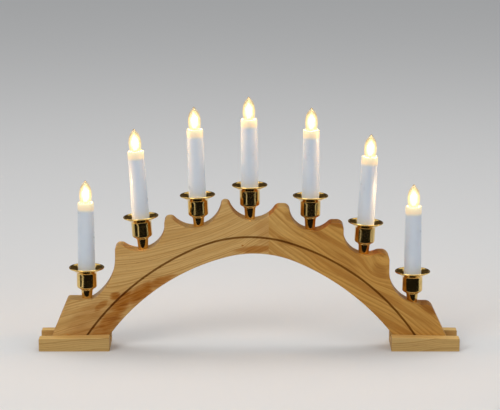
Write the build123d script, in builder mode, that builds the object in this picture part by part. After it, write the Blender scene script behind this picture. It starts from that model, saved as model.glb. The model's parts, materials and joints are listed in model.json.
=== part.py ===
"""Seven-light electric candle arch: a sawn pine arch on two feet, brass cups and screw-in bulbs.

Millimetres. X runs to the right along the arch, Y to the back, Z up.
The origin is on the table, midway between the feet and midway through their depth.
"""

from build123d import *
from math import asin, atan, cos, degrees, radians, sin, sqrt
import os

os.makedirs("parts", exist_ok=True)

# Overall sizes
overall_length = 430.0
half_span = overall_length / 2
peak_share = 0.7102
peak_height = half_span * peak_share
overrun = 5.0
running_gap = 0.3
glue_gap = 0.1

# Feet: pine blocks with a channel sawn along the top for the arch to stand in
foot_depth = 45.0
foot_inner_height = 14.5
foot_outer_height = 13.1
foot_left_share = 0.3358
foot_right_share = 0.3233
foot_left_length = half_span * foot_left_share
foot_right_length = half_span * foot_right_share
foot_edge = 0.8
channel_floor = 6.5

# Arch board: two pine halves glued edge to edge near the crown.
# Every share without a note of its own is a share of the half span.
board_thickness = 20.8
board_edge = 1.1
joint_share = 0.0930
leg_foot_share = 0.9526
leg_shoulder_share = 0.8656
left_shoulder_share_of_peak = 0.336
joint_x = half_span * joint_share
leg_foot_x = half_span * leg_foot_share
leg_shoulder_x = half_span * leg_shoulder_share
left_shoulder_height = peak_height * left_shoulder_share_of_peak

# Underside: a crown arc that runs into a flatter arc on each leg
crown_x_share = 0.0228
crown_height_share = 0.4637
crown_radius_share = 0.5079
crown_left_angle = 14.7
crown_right_angle = 23.2
left_leg_radius_share = 1.0065
right_leg_radius_share = 1.1712

# Line routed across the front face, a three-centred curve of its own
line_x_share = 0.0019
line_height_share = 0.5447
line_crown_radius_share = 0.6260
line_left_angle = 22.3
line_right_angle = 17.2
line_left_radius_share = 1.2070
line_right_radius_share = 1.1247
line_width = 2.2
line_depth = 1.9

# Wire channel routed in the back face, above the underside
wire_channel_rise_share = 0.1116
wire_channel_rise = half_span * wire_channel_rise_share
wire_channel_width = 7.0
wire_channel_depth = 9.0

# Hollows sawn into the top edge, one at each candle, from left to right.
# Centres are shares of the half span, floors of the peak height, radii of the middle hollow's.
hollow_radius_share = 0.1209
hollow_radius = half_span * hollow_radius_share
hollow_x_shares = (-0.880, -0.522, -0.262, 0.019, 0.298, 0.557, 0.825)
hollow_floor_shares = (0.281, 0.671, 0.827, 0.878, 0.806, 0.640, 0.302)
hollow_radius_shares = (2.02, 1.00, 1.08, 1.00, 0.89, 0.91, 1.32)

# Rounded tips left standing between the hollows, as shares of the peak height and tip radius,
# and the rounded corners of the shoulders, which like the tip radius are shares of the hollow radius
tip_share_of_hollow = 0.1923
left_corner_share_of_hollow = 0.115
right_corner_share_of_hollow = 0.308
tip_radius = hollow_radius * tip_share_of_hollow
left_shoulder_corner = hollow_radius * left_corner_share_of_hollow
right_shoulder_corner = hollow_radius * right_corner_share_of_hollow
tip_flat = 0.35
tip_height_shares = (0.708, 0.892, 1.000, 0.972, 0.862, 0.658)
tip_radius_shares = (1.0, 1.0, 0.8, 1.2, 1.3, 1.6)

# Candles: place along the arch as shares of the half span, and lean in degrees, right positive
candle_x_shares = (-0.774, -0.503, -0.239, 0.004, 0.289, 0.544, 0.778)
candle_leans = (0.0, -3.9, -2.1, -0.6, 0.4, 3.1, 0.1)

# Cup: spun brass, with a stem pressed into the wood to a depth that differs from cup to cup
neck_height = 11.9
neck_foot_radius = 4.9
neck_top_radius = 6.0
ring_height = 1.5
ring_radius = 6.5
body_height = 17.6
body_radius = 10.3
body_shoulder = 2.9
cup_wall = 1.0
pan_radius = 18.2
pan_rise = 4.9
pan_wall = 0.8
rim_bead = 0.8
spigot_radius = 4.0
spigot_length = 12.0
wire_bore_radius = 2.4
cup_hole_depth = 27.0
seat_depth_shares = (0.30, 0.12, 0.26, 0.03, 0.03, 0.20, 0.33)

# Candle sleeve: a tapered white moulding with the lamp socket formed in its top
sleeve_rise = 67.4
sleeve_foot_radius = 9.0
sleeve_top_radius = 8.25
sleeve_wall = 1.4
sleeve_lip_round = 1.1
mouth_radius = 6.3
mouth_depth = 5.2

# Lamp socket: brass screw shell and a spring contact that follows the bulb
shell_radius = 5.6
shell_wall = 0.5
web_thickness = 3.0
contact_head_radius = 2.6
contact_head_height = 1.0
contact_pin_radius = 1.4
contact_stop_radius = 2.4
contact_stop_height = 0.8
contact_travel = 1.6

# Bulb: E10 screw cap, flame-shaped glass and a mounted filament
cap_wall = 0.35
cap_length = 8.8
cap_button_radius = 1.9
cap_button_height = 1.2
cap_taper_height = 1.4
glass_wall = 0.6
glass_rise = 22.8
glass_belly_height = 8.0
glass_belly_radius = 6.45
glass_neck_radius = 4.25
glass_neck_length = 5.5
flame_swell_share = 0.45
flame_side_share = 0.50
flame_point_share = 0.78
flame_point_width_share = 0.36
mount_foot_height = 2.5
mount_stem_radius = 1.1
mount_height = 13.0
lead_radius = 0.3
lead_root = 0.6
lead_spread = 2.3
lead_height = 9.0
filament_radius = 0.45
filament_rise = 1.2

# Fixings hidden in the wood
dowel_radius = 3.0
dowel_length = 24.0
dowel_lower_share = 0.28
dowel_upper_share = 0.76
screw_radius = 1.75
screw_head_radius = 3.6
screw_head_height = 2.2
screw_length = 20.0
screw_recess = 0.5
screw_point = 3.0
screw_spacing = 28.0

# Stack of the cup and candle, measured along the candle's own axis from the foot of the neck
ring_top = neck_height + ring_height
cup_floor = ring_top + cup_wall
cup_mouth = ring_top + body_height
rim_height = cup_mouth + pan_rise
cup_bore_radius = body_radius - cup_wall
sleeve_floor = cup_floor + glue_gap
sleeve_top = rim_height + sleeve_rise
shell_top = sleeve_top - mouth_depth
shell_bore_radius = shell_radius - shell_wall
cap_radius = shell_bore_radius - running_gap
cap_top = shell_top
cap_floor = cap_top - cap_length
contact_top = cap_floor - cap_button_height - glue_gap
web_top = contact_top - contact_head_height - glue_gap
web_floor = web_top - web_thickness
shell_floor = web_top + glue_gap
contact_stop_top = web_floor - running_gap - contact_travel
glass_floor = cap_top - glass_neck_length
glass_belly = sleeve_top + glass_belly_height
glass_tip = sleeve_top + glass_rise


def curve_centres(x, height, radius, left_angle, left_radius, right_angle, right_radius):
    """Centres of the crown arc and of the left and right arcs that touch it at their angles."""
    crown = (x, height - radius)
    left = (x + (left_radius - radius) * sin(radians(left_angle)),
            crown[1] - (left_radius - radius) * cos(radians(left_angle)))
    right = (x - (right_radius - radius) * sin(radians(right_angle)),
             crown[1] - (right_radius - radius) * cos(radians(right_angle)))
    return crown, left, right


def arch_curve(curve, rise, end_height):
    """Draw a three-centred curve from right to left, moved out square to itself by rise."""
    x, height, radius, left_angle, left_radius, right_angle, right_radius = curve
    crown, left, right = curve_centres(*curve)
    right_start = degrees(asin((end_height - right[1]) / (right_radius + rise)))
    left_end = 180 - degrees(asin((end_height - left[1]) / (left_radius + rise)))
    first = CenterArc(right, right_radius + rise, right_start, 90 - right_angle - right_start)
    CenterArc(crown, radius + rise, 90 - right_angle, right_angle + left_angle)
    last = CenterArc(left, left_radius + rise, 90 + left_angle, left_end - 90 - left_angle)
    return first @ 0, last @ 1


crown_height = half_span * crown_height_share
underside = (half_span * crown_x_share, crown_height, half_span * crown_radius_share,
             crown_left_angle, half_span * left_leg_radius_share,
             crown_right_angle, half_span * right_leg_radius_share)
front_line = (half_span * line_x_share, half_span * line_height_share,
              half_span * line_crown_radius_share,
              line_left_angle, half_span * line_left_radius_share,
              line_right_angle, half_span * line_right_radius_share)

hollows = []
for x_share, floor_share, radius_share in zip(hollow_x_shares, hollow_floor_shares, hollow_radius_shares):
    radius = hollow_radius * radius_share
    hollows.append((half_span * x_share, peak_height * floor_share + radius, radius))
right_shoulder_height = peak_height * hollow_floor_shares[-1]
tip_heights = [peak_height * share for share in tip_height_shares]


def side_angle(number, tip):
    """Angle from upright at which a hollow's arc ends at a tip; well below the tip it ends upright."""
    height, radius = hollows[number][1:]
    drop = height - tip_heights[tip]
    if -drop > tip_radius * tip_radius_shares[tip]:
        return 0.0
    return degrees(asin(drop / radius))


def hollow_span(number):
    """Angles at which a hollow's arc starts and ends, from its left side along its floor."""
    height, radius = hollows[number][1:]
    if number == 0:
        start = 360 - degrees(asin((height - left_shoulder_height) / radius))
    else:
        start = 180 + side_angle(number, number - 1)
    if number == len(hollows) - 1:
        return start, 270.0
    return start, 360 - side_angle(number, number)


def top_edge(start, end):
    """Draw the upper outline from the left heel over the shoulders, hollows and tips to the right heel."""
    here = Polyline(start, (-leg_shoulder_x, left_shoulder_height)) @ 1
    for number, (x, height, radius) in enumerate(hollows):
        first, last = hollow_span(number)
        arc = CenterArc((x, height), radius, first, last - first)
        if (arc @ 0).Y < here.Y - tip_flat:
            Polyline(here, ((arc @ 0).X, here.Y), arc @ 0)
        else:
            Line(here, arc @ 0)
        here = arc @ 1
        if number < len(tip_heights) and here.Y < tip_heights[number] - tip_flat:
            here = Line(here, (here.X, tip_heights[number])) @ 1
    Polyline(here, (leg_shoulder_x, right_shoulder_height), end)


def corners_at(sketch, height, x_low, x_high):
    """Corners of a sketch that lie at one height between two places along X."""
    level = sketch.vertices().filter_by_position(Axis.Y, height - glue_gap, height + glue_gap)
    return level.filter_by_position(Axis.X, x_low, x_high)


def wood_height(number):
    """Height of the sawn top edge where a candle stands."""
    x, height, radius = hollows[number]
    if number == 0:
        return left_shoulder_height
    return height - sqrt(radius ** 2 - (half_span * candle_x_shares[number] - x) ** 2)


def candle_plane(number):
    """Plane facing the front, with the candle's axis as its Y axis and the neck's foot as origin."""
    lean = radians(candle_leans[number])
    sunk = neck_height * seat_depth_shares[number]
    foot_x = half_span * candle_x_shares[number] - sunk * sin(lean)
    foot_z = wood_height(number) - sunk * cos(lean)
    return Plane(origin=(foot_x, 0, foot_z), x_dir=(cos(lean), 0, -sin(lean)), z_dir=(0, -1, 0))


def drill_plane(number):
    """Plane square across a candle's axis at the foot of its cup's neck."""
    upright = candle_plane(number)
    return Plane(origin=upright.origin, x_dir=upright.x_dir, z_dir=upright.y_dir)


def turn(plane, mode=Mode.ADD):
    """Turn the sketch drawn on a candle's plane about that candle's axis."""
    revolve(axis=Axis(plane.origin, plane.y_dir), mode=mode)


def finish(piece, name):
    """Label a finished piece and write it to its own file."""
    piece.part.label = name
    export_step(piece.part, f"parts/{name}.step")


# Places of the fixings: dowels across the crown joint, two screws up into each leg
board_face = board_thickness / 2
wire_channel_face = board_face - wire_channel_depth
dowel_y = (wire_channel_face - board_face) / 2
joint_height = wood_height(len(hollows) // 2) - crown_height
dowel_heights = [crown_height + joint_height * share for share in (dowel_lower_share, dowel_upper_share)]
with BuildLine() as leg_ends:
    right_instep, left_instep = arch_curve(underside, 0, channel_floor)
left_heel = (-leg_foot_x, channel_floor)
right_heel = (leg_foot_x, channel_floor)
left_leg_middle = (left_instep.X - leg_foot_x) / 2
right_leg_middle = (right_instep.X + leg_foot_x) / 2
left_screws = [left_leg_middle - screw_spacing / 2, left_leg_middle + screw_spacing / 2]
right_screws = [right_leg_middle - screw_spacing / 2, right_leg_middle + screw_spacing / 2]

# Arch board, sawn whole in outline, then rounded along its edges, routed and drilled
with BuildPart() as board:
    with BuildSketch(Plane.XZ) as outline:
        with BuildLine():
            arch_curve(underside, 0, channel_floor)
            Line(left_instep, left_heel)
            top_edge(left_heel, right_heel)
            Line(right_heel, right_instep)
        make_face()
        for number, (height, share) in enumerate(zip(tip_heights, tip_radius_shares)):
            tip = corners_at(outline, height, hollows[number][0], hollows[number + 1][0])
            fillet(tip, radius=tip_radius * share)
        shoulder = corners_at(outline, left_shoulder_height, -leg_foot_x, 0)
        fillet(shoulder.sort_by(Axis.X)[0], radius=left_shoulder_corner)
        fillet(shoulder.sort_by(Axis.X)[-1], radius=right_shoulder_corner)
        outer = corners_at(outline, right_shoulder_height, -leg_foot_x, leg_foot_x).sort_by(Axis.X)[-1]
        fillet(outer, radius=right_shoulder_corner)
    extrude(amount=board_face, both=True)
    front_rim = board.faces().sort_by(Axis.Y)[0].edges()
    back_rim = board.faces().sort_by(Axis.Y)[-1].edges()
    fillet(front_rim.sort_by(Axis.Z)[2:] + back_rim.sort_by(Axis.Z)[2:], radius=board_edge)

    # V-shaped line round the front
    with BuildLine(Plane.XZ.offset(board_face)) as line_path:
        arch_curve(front_line, 0, channel_floor)
    path = line_path.wire()
    with BuildSketch(Plane(origin=path @ 0, x_dir=(0, -1, 0), z_dir=path % 0)):
        with BuildLine():
            Polyline((0, line_width / 2), (0, -line_width / 2), (-line_depth, 0), close=True)
        make_face()
    sweep(path=path, mode=Mode.SUBTRACT)

    # Channel for the wires round the back
    with BuildSketch(Plane.XZ.offset(-board_face)):
        with BuildLine():
            outer = arch_curve(underside, wire_channel_rise + wire_channel_width / 2, channel_floor - overrun)
            inner = arch_curve(underside, wire_channel_rise - wire_channel_width / 2, channel_floor - overrun)
            Line(outer[0], inner[0])
            Line(outer[1], inner[1])
        make_face()
    extrude(amount=wire_channel_depth, mode=Mode.SUBTRACT)

    # A tapered seat and a hole for each cup, drilled at that candle's own lean
    for number in range(len(hollows)):
        with BuildSketch(candle_plane(number)):
            with BuildLine():
                Polyline((0, 0), (neck_foot_radius + glue_gap, 0), (neck_top_radius + glue_gap, neck_height),
                         (0, neck_height), close=True)
            make_face()
        turn(candle_plane(number), mode=Mode.SUBTRACT)
        with BuildSketch(drill_plane(number)):
            Circle(spigot_radius + glue_gap)
        extrude(amount=-cup_hole_depth, mode=Mode.SUBTRACT)

    # Holes for the dowels and the screws
    with BuildSketch(Plane.YZ.offset(joint_x)):
        with Locations(*[(dowel_y, height) for height in dowel_heights]):
            Circle(dowel_radius + glue_gap)
    extrude(amount=dowel_length / 2 + running_gap, both=True, mode=Mode.SUBTRACT)
    with BuildSketch(Plane.XY.offset(channel_floor)):
        with Locations(*[(x, 0) for x in left_screws + right_screws]):
            Circle(screw_radius + glue_gap)
    extrude(amount=screw_recess + screw_length + running_gap - channel_floor, mode=Mode.SUBTRACT)

joint_plane = Plane.YZ.offset(joint_x)
with BuildPart() as arch_left_half:
    add(board.part)
    split(bisect_by=joint_plane, keep=Keep.BOTTOM)
finish(arch_left_half, "arch_left_half")

with BuildPart() as arch_right_half:
    add(board.part)
    split(bisect_by=joint_plane, keep=Keep.TOP)
finish(arch_right_half, "arch_right_half")

with BuildPart() as crown_dowels:
    with BuildSketch(joint_plane):
        with Locations(*[(dowel_y, height) for height in dowel_heights]):
            Circle(dowel_radius)
    extrude(amount=dowel_length / 2, both=True)
finish(crown_dowels, "crown_dowels")


def make_foot(outer_x, inner_x, screws):
    """A foot: a block whose top falls a little to its outer end, with a channel for the arch."""
    with BuildPart() as foot:
        with BuildSketch(Plane.XZ):
            with BuildLine():
                Polyline((outer_x, 0), (inner_x, 0), (inner_x, foot_inner_height),
                         (outer_x, foot_outer_height), close=True)
            make_face()
        extrude(amount=foot_depth / 2, both=True)
        fillet(foot.edges() - foot.faces().sort_by(Axis.Z)[0].edges(), radius=foot_edge)
        with BuildSketch(Plane.XY.offset(channel_floor)):
            with Locations(((outer_x + inner_x) / 2, 0)):
                Rectangle(abs(outer_x - inner_x) + 2 * overrun, board_thickness + 2 * glue_gap)
        extrude(amount=foot_inner_height, mode=Mode.SUBTRACT)
        head_flare = (screw_head_radius - screw_radius) / screw_head_height
        with Locations(*[Plane(origin=(x, 0, 0), z_dir=(0, 0, -1)) for x in screws]):
            CounterSinkHole(radius=screw_radius + glue_gap, depth=channel_floor,
                            counter_sink_radius=screw_head_radius + glue_gap + screw_recess * head_flare,
                            counter_sink_angle=2 * degrees(atan(head_flare)))
    return foot


finish(make_foot(-half_span, foot_left_length - half_span, left_screws), "foot_left")
finish(make_foot(half_span, half_span - foot_right_length, right_screws), "foot_right")

with BuildPart() as foot_screws:
    for x in left_screws + right_screws:
        with BuildSketch(Plane(origin=(x, 0, screw_recess), x_dir=(1, 0, 0), z_dir=(0, -1, 0))):
            with BuildLine():
                Polyline((0, 0), (screw_head_radius, 0), (screw_radius, screw_head_height),
                         (screw_radius, screw_length - screw_point), (0, screw_length), close=True)
            make_face()
        revolve(axis=Axis((x, 0, 0), (0, 0, 1)))
finish(foot_screws, "foot_screws")


def make_cup(plane):
    """A cup spun in one piece: stem, ring, round-bottomed body and a wide drip pan with a rolled rim."""
    with BuildPart() as cup:
        with BuildSketch(plane):
            with BuildLine():
                Polyline((wire_bore_radius, -spigot_length), (spigot_radius, -spigot_length),
                         (spigot_radius, 0), (neck_foot_radius, 0), (neck_top_radius, neck_height))
                ThreePointArc((neck_top_radius, neck_height), (ring_radius, neck_height + ring_height / 2),
                              (neck_top_radius, ring_top))
                Line((neck_top_radius, ring_top), (body_radius - body_shoulder, ring_top))
                RadiusArc((body_radius - body_shoulder, ring_top), (body_radius, ring_top + body_shoulder),
                          -body_shoulder)
                bead_middle = pan_radius - rim_bead
                Polyline((body_radius, ring_top + body_shoulder), (body_radius, cup_mouth - pan_wall),
                         (bead_middle, rim_height - 2 * rim_bead))
                ThreePointArc((bead_middle, rim_height - 2 * rim_bead), (pan_radius, rim_height - rim_bead),
                              (bead_middle, rim_height))
                Polyline((bead_middle, rim_height), (bead_middle - rim_bead, rim_height - rim_bead),
                         (cup_bore_radius, cup_mouth), (cup_bore_radius, cup_floor),
                         (wire_bore_radius, cup_floor), (wire_bore_radius, -spigot_length))
            make_face()
        turn(plane)
    return cup


def make_sleeve(plane):
    """A candle sleeve: a tapered tube, open below for the wires, with a lamp socket moulded in its top."""
    socket_radius = shell_radius + glue_gap
    pin_hole_radius = contact_pin_radius + running_gap
    bore_radius = sleeve_top_radius - sleeve_wall
    with BuildPart() as sleeve:
        with BuildSketch(plane):
            with BuildLine():
                Line((sleeve_foot_radius, sleeve_floor), (sleeve_top_radius, sleeve_top - sleeve_lip_round))
                RadiusArc((sleeve_top_radius, sleeve_top - sleeve_lip_round),
                          (sleeve_top_radius - sleeve_lip_round, sleeve_top), -sleeve_lip_round)
                Polyline((sleeve_top_radius - sleeve_lip_round, sleeve_top), (mouth_radius, sleeve_top),
                         (mouth_radius, shell_top), (socket_radius, shell_top), (socket_radius, web_top),
                         (pin_hole_radius, web_top), (pin_hole_radius, web_floor), (bore_radius, web_floor),
                         (bore_radius, sleeve_floor), (sleeve_foot_radius, sleeve_floor))
            make_face()
        turn(plane)
    return sleeve


def make_socket_shell(plane):
    """The socket's brass screw shell, standing on the moulded web."""
    with BuildPart() as shell:
        with BuildSketch(plane):
            with BuildLine():
                Polyline((shell_bore_radius, shell_floor), (shell_radius, shell_floor),
                         (shell_radius, shell_top), (shell_bore_radius, shell_top), close=True)
            make_face()
        turn(plane)
    return shell


def make_contact(plane):
    """The socket's middle contact: a headed pin that slides in the web, stopped from below."""
    with BuildPart() as contact:
        with BuildSketch(plane):
            with BuildLine():
                stop_floor = contact_stop_top - contact_stop_height
                head_floor = contact_top - contact_head_height
                Polyline((0, stop_floor), (contact_stop_radius, stop_floor),
                         (contact_stop_radius, contact_stop_top), (contact_pin_radius, contact_stop_top),
                         (contact_pin_radius, head_floor), (contact_head_radius, head_floor),
                         (contact_head_radius, contact_top), (0, contact_top), close=True)
            make_face()
        turn(plane)
    return contact


def make_bulb_cap(plane):
    """A bulb's screw cap with the contact button under it, open above for the glass."""
    button_floor = cap_floor - cap_button_height
    cap_bore_radius = cap_radius - cap_wall
    with BuildPart() as cap:
        with BuildSketch(plane):
            with BuildLine():
                Polyline((0, button_floor), (cap_button_radius, button_floor), (cap_button_radius, cap_floor),
                         (cap_radius, cap_floor + cap_taper_height), (cap_radius, cap_top),
                         (cap_bore_radius, cap_top), (cap_bore_radius, glass_floor - glue_gap),
                         (0, glass_floor - glue_gap), close=True)
            make_face()
        turn(plane)
    return cap


def make_bulb_glass(plane):
    """A bulb's glass: a neck held in the cap, a round belly and a pointed tip like a flame."""
    with BuildPart() as glass:
        with BuildSketch(plane):
            with BuildLine():
                for wall, tip in ((0, glass_tip), (glass_wall, glass_tip - 2 * glass_wall)):
                    neck = glass_neck_radius - wall
                    belly = glass_belly_radius - wall
                    swell = glass_belly - cap_top
                    taper = tip - glass_belly
                    side = (belly, glass_belly + taper * flame_side_share)
                    point = (belly * flame_point_width_share, glass_belly + taper * flame_point_share)
                    Line((neck, glass_floor), (neck, cap_top))
                    Bezier((neck, cap_top), (belly, glass_belly - swell * flame_swell_share),
                           (belly, glass_belly))
                    Bezier((belly, glass_belly), side, point, (0, tip))
                Line((0, glass_tip - 2 * glass_wall), (0, glass_tip))
                Line((glass_neck_radius - glass_wall, glass_floor), (glass_neck_radius, glass_floor))
            make_face()
        turn(plane)
    return glass


def make_filament(plane):
    """A bulb's mounted filament: a glass foot and stem, two leads and the filament between them."""
    mount_top = glass_floor + mount_height
    foot_radius = glass_neck_radius - glass_wall - glue_gap
    with BuildPart() as filament:
        with BuildSketch(plane):
            with BuildLine():
                Polyline((0, glass_floor), (foot_radius, glass_floor),
                         (foot_radius, glass_floor + mount_foot_height),
                         (mount_stem_radius, glass_floor + 2 * mount_foot_height),
                         (mount_stem_radius, mount_top), (0, mount_top), close=True)
            make_face()
        turn(plane)
        lead_top = mount_top + lead_height
        for side in (-1, 1):
            root = plane.from_local_coords((side * lead_root, mount_top - lead_root, 0))
            end = plane.from_local_coords((side * lead_spread, lead_top, 0))
            with BuildSketch(Plane(origin=root, z_dir=end - root)):
                Circle(lead_radius)
            extrude(amount=(end - root).length)
        with BuildLine(plane) as loop:
            ThreePointArc((-lead_spread, lead_top), (0, lead_top + filament_rise), (lead_spread, lead_top))
        wire = loop.wire()
        with BuildSketch(Plane(origin=wire @ 0, z_dir=wire % 0)):
            Circle(filament_radius)
        sweep(path=wire)
    return filament


# One cup, one candle with its socket and one bulb at each place along the arch
makers = {"cup": make_cup, "candle_sleeve": make_sleeve, "socket_shell": make_socket_shell,
          "socket_contact": make_contact, "bulb_cap": make_bulb_cap, "bulb_glass": make_bulb_glass,
          "bulb_filament": make_filament}
for number in range(len(hollows)):
    for name, make in makers.items():
        finish(make(candle_plane(number)), f"{name}_{number + 1}")
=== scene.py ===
"""Electric candle arch: seven lit candles on a sawn pine arch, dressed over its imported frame.

Objects are in metres, with X to the right, Y to the back and Z up. Profiles and other sizes
are written in millimetres, and become metres where a mesh is made.
"""

import json
from math import pi, radians

import bmesh
import bpy
import numpy as np
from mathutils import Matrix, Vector


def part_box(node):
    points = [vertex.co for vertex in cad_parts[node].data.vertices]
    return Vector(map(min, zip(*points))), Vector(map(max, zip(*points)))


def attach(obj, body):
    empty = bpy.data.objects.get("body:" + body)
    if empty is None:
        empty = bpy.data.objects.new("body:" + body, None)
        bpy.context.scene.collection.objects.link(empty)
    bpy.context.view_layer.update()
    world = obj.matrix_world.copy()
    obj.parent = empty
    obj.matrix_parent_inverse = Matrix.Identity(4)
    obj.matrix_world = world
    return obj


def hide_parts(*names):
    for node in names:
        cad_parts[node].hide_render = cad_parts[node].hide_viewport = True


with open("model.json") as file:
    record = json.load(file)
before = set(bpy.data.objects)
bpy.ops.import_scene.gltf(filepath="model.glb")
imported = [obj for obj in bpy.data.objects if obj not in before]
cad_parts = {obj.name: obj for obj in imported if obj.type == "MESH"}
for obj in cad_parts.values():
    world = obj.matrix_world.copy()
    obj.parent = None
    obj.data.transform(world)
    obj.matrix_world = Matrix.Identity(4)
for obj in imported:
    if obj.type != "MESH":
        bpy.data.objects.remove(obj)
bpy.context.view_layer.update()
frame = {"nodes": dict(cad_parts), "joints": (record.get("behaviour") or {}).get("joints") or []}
scene = bpy.context.scene
mm = 0.001


# Feet. Two short lengths of pale pine, planed square, with a groove ploughed along the top that
# the arch stands in. They are sanded along their edges, lacquered and screwed on from below.

class Value:
    """A value in a shader's tree. Sums with it add the maths nodes that work them out."""

    def __init__(self, tree, socket):
        self.tree = tree
        self.socket = socket

    def calc(self, operation, *others):
        """What a maths node makes of this number and others."""
        return output(self.tree, "Math", 0, dict(enumerate((self, *others))), operation=operation)

    def __add__(self, other):
        return self.calc("ADD", other)

    def __sub__(self, other):
        return self.calc("SUBTRACT", other)

    def __mul__(self, other):
        return self.calc("MULTIPLY", other)

    def __truediv__(self, other):
        return self.calc("DIVIDE", other)


def join(tree, value, socket):
    """Set a socket: a value from the tree is linked, a plain one is written into it."""
    if isinstance(value, Value):
        tree.links.new(value.socket, socket)
    else:
        socket.default_value = value


def add(tree, kind, inputs, **settings):
    """Add a shader node, set its options and feed its inputs."""
    node = tree.nodes.new("ShaderNode" + kind)
    for name, value in settings.items():
        setattr(node, name, value)
    for key, value in inputs.items():
        join(tree, value, node.inputs[key])
    return node


def output(tree, kind, name, inputs=None, **settings):
    """One output of a new node."""
    return Value(tree, add(tree, kind, inputs or {}, **settings).outputs[name])


def square(value):
    """A number times itself."""
    return value * value


def spread(value, size):
    """A number from 0 to 1, moved to lie evenly about zero with a given size."""
    return (value - 0.5) * size


def fade(value, low, high, to_low=0.0, to_high=1.0):
    """A soft step from to_low to to_high as the value goes from low to high."""
    inputs = {"Value": value, "From Min": low, "From Max": high, "To Min": to_low, "To Max": to_high}
    return output(value.tree, "MapRange", 0, inputs, interpolation_type="SMOOTHSTEP")


def blend(share, first, second, mode="MIX"):
    """One colour from two, which the node takes at its sockets 6 and 7. It gives the result at 2."""
    tree = next(value.tree for value in (share, first, second) if isinstance(value, Value))
    return output(tree, "Mix", 2, {0: share, 6: first, 7: second}, data_type="RGBA", blend_type=mode)


def combine(x, y, z):
    """A vector from three numbers, the first of them in a tree."""
    return output(x.tree, "CombineXYZ", 0, {0: x, 1: y, 2: z})


def split(vector):
    """The three numbers of a vector."""
    return [Value(vector.tree, part) for part in add(vector.tree, "SeparateXYZ", {0: vector}).outputs]


def noise(place, scale=1.0, detail=2.0, roughness=0.5):
    """Noise from 0 to 1 at a place, which is a vector or three numbers."""
    place = combine(*place) if isinstance(place, tuple) else place
    inputs = {"Vector": place, "Scale": scale, "Detail": detail, "Roughness": roughness}
    return output(place.tree, "TexNoise", 0, inputs)


def own_place(tree):
    """The place in the piece's own coordinates, as a vector in metres."""
    return output(tree, "TexCoord", "Object")


def bump(height, strength, distance_mm):
    """The normal of a surface with relief."""
    inputs = {"Strength": strength, "Distance": distance_mm * mm, "Height": height}
    return output(height.tree, "Bump", 0, inputs)


def new_group(name, numbers, colours=()):
    """A node group with named numbers and colours to be given, and those as values in order."""
    group = bpy.data.node_groups.new(name, "ShaderNodeTree")
    for kind, sockets in (("Float", numbers), ("Color", colours)):
        for socket in sockets:
            group.interface.new_socket(socket, in_out="INPUT", socket_type="NodeSocket" + kind)
    given = group.nodes.new("NodeGroupInput").outputs
    return group, [Value(group, given[socket]) for socket in (*numbers, *colours)]


def close_group(group, numbers, **colours):
    """Put out a group's results: numbers from a dictionary of their names, and colours by name."""
    for kind, results in (("Float", numbers), ("Color", colours)):
        for name in results:
            group.interface.new_socket(name, in_out="OUTPUT", socket_type="NodeSocket" + kind)
    ends = group.nodes.new("NodeGroupOutput").inputs
    for name, value in {**numbers, **colours}.items():
        join(group, value, ends[name])
    return group


def use_group(tree, group, **values):
    """Place a group in a tree with values for its sockets, so that half_width feeds Half Width.
    Its outputs come back in order."""
    node = tree.nodes.new("ShaderNodeGroup")
    node.node_tree = group
    for name, value in values.items():
        join(tree, value, node.inputs[name.replace("_", " ").title()])
    return [Value(tree, end) for end in node.outputs]


def new_material(name):
    """An empty material and its tree."""
    material = bpy.data.materials.new(name)
    material.use_nodes = True
    material.node_tree.nodes.clear()
    return material, material.node_tree


def surface(tree, inputs):
    """Put a shader with these inputs on the material's surface."""
    add(tree, "OutputMaterial", {"Surface": output(tree, "BsdfPrincipled", 0, inputs)})


def build_pine_grain():
    """Grain of pine. The distance from a pith that runs along the board, bent by slow waves, is cut
    into rings, and each darkens towards its late wood. Bands of brown heartwood, fibres and resin
    canals lie along the grain as stretched noise."""
    group, given = new_group("pine_grain", ("Along", "Depth", "Across", "Pith Depth", "Pith Across",
                                            "Ring Width", "Brown Share"), ("Pale", "Late", "Brown"))
    along, depth, across, pith_depth, pith_across, ring_width, brown_share, pale, late_colour, brown = given

    def stretched(step_along, step_depth, step_across, **settings):
        """Noise with its own step in each direction, drawn out along the grain."""
        return noise((along * step_along, depth * step_depth, across * step_across), **settings)

    waves = spread(stretched(0.009, 0.02, 0.022, detail=1.0), 15.0)
    ripples = spread(stretched(0.05, 0.10, 0.20, detail=1.0), 1.3)
    from_pith = (square(depth - pith_depth) + square(across - pith_across)).calc("SQRT")
    radius = from_pith + waves + ripples
    radius = radius + spread(noise((radius * 0.11, 0.0, 0.0), detail=1.0), 7.0)
    phase = radius / ring_width
    within = phase.calc("FRACT")
    year = output(group, "TexWhiteNoise", 0, {"W": phase.calc("FLOOR")}, noise_dimensions="1D")
    late = fade(within, 0.25, 0.86) * fade(within, 0.93, 1.0, 1.0, 0.0)
    late = late * (year.calc("POWER", 1.5) * 0.85 + 0.18)
    heartwood = fade(stretched(0.008, 0.03, 0.150, detail=3.0, roughness=0.6), 0.42, 0.60) * brown_share
    fibres = stretched(0.03, 0.9, 1.5, detail=4.0, roughness=0.6)
    canals = fade(stretched(0.15, 2.2, 2.7, detail=0.0), 0.70, 0.80)

    colour = blend(late, blend(heartwood, pale, brown), late_colour)
    shade = fade(fibres, 0.25, 0.75, 0.90, 1.07)
    colour = blend(1.0, colour, combine(shade, shade, shade), "MULTIPLY")
    colour = blend(canals * 0.30, colour, late_colour, "MULTIPLY")
    return close_group(group, {"Relief": late * 0.6 + fibres * 0.5 - canals * 0.5}, Color=colour)


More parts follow.
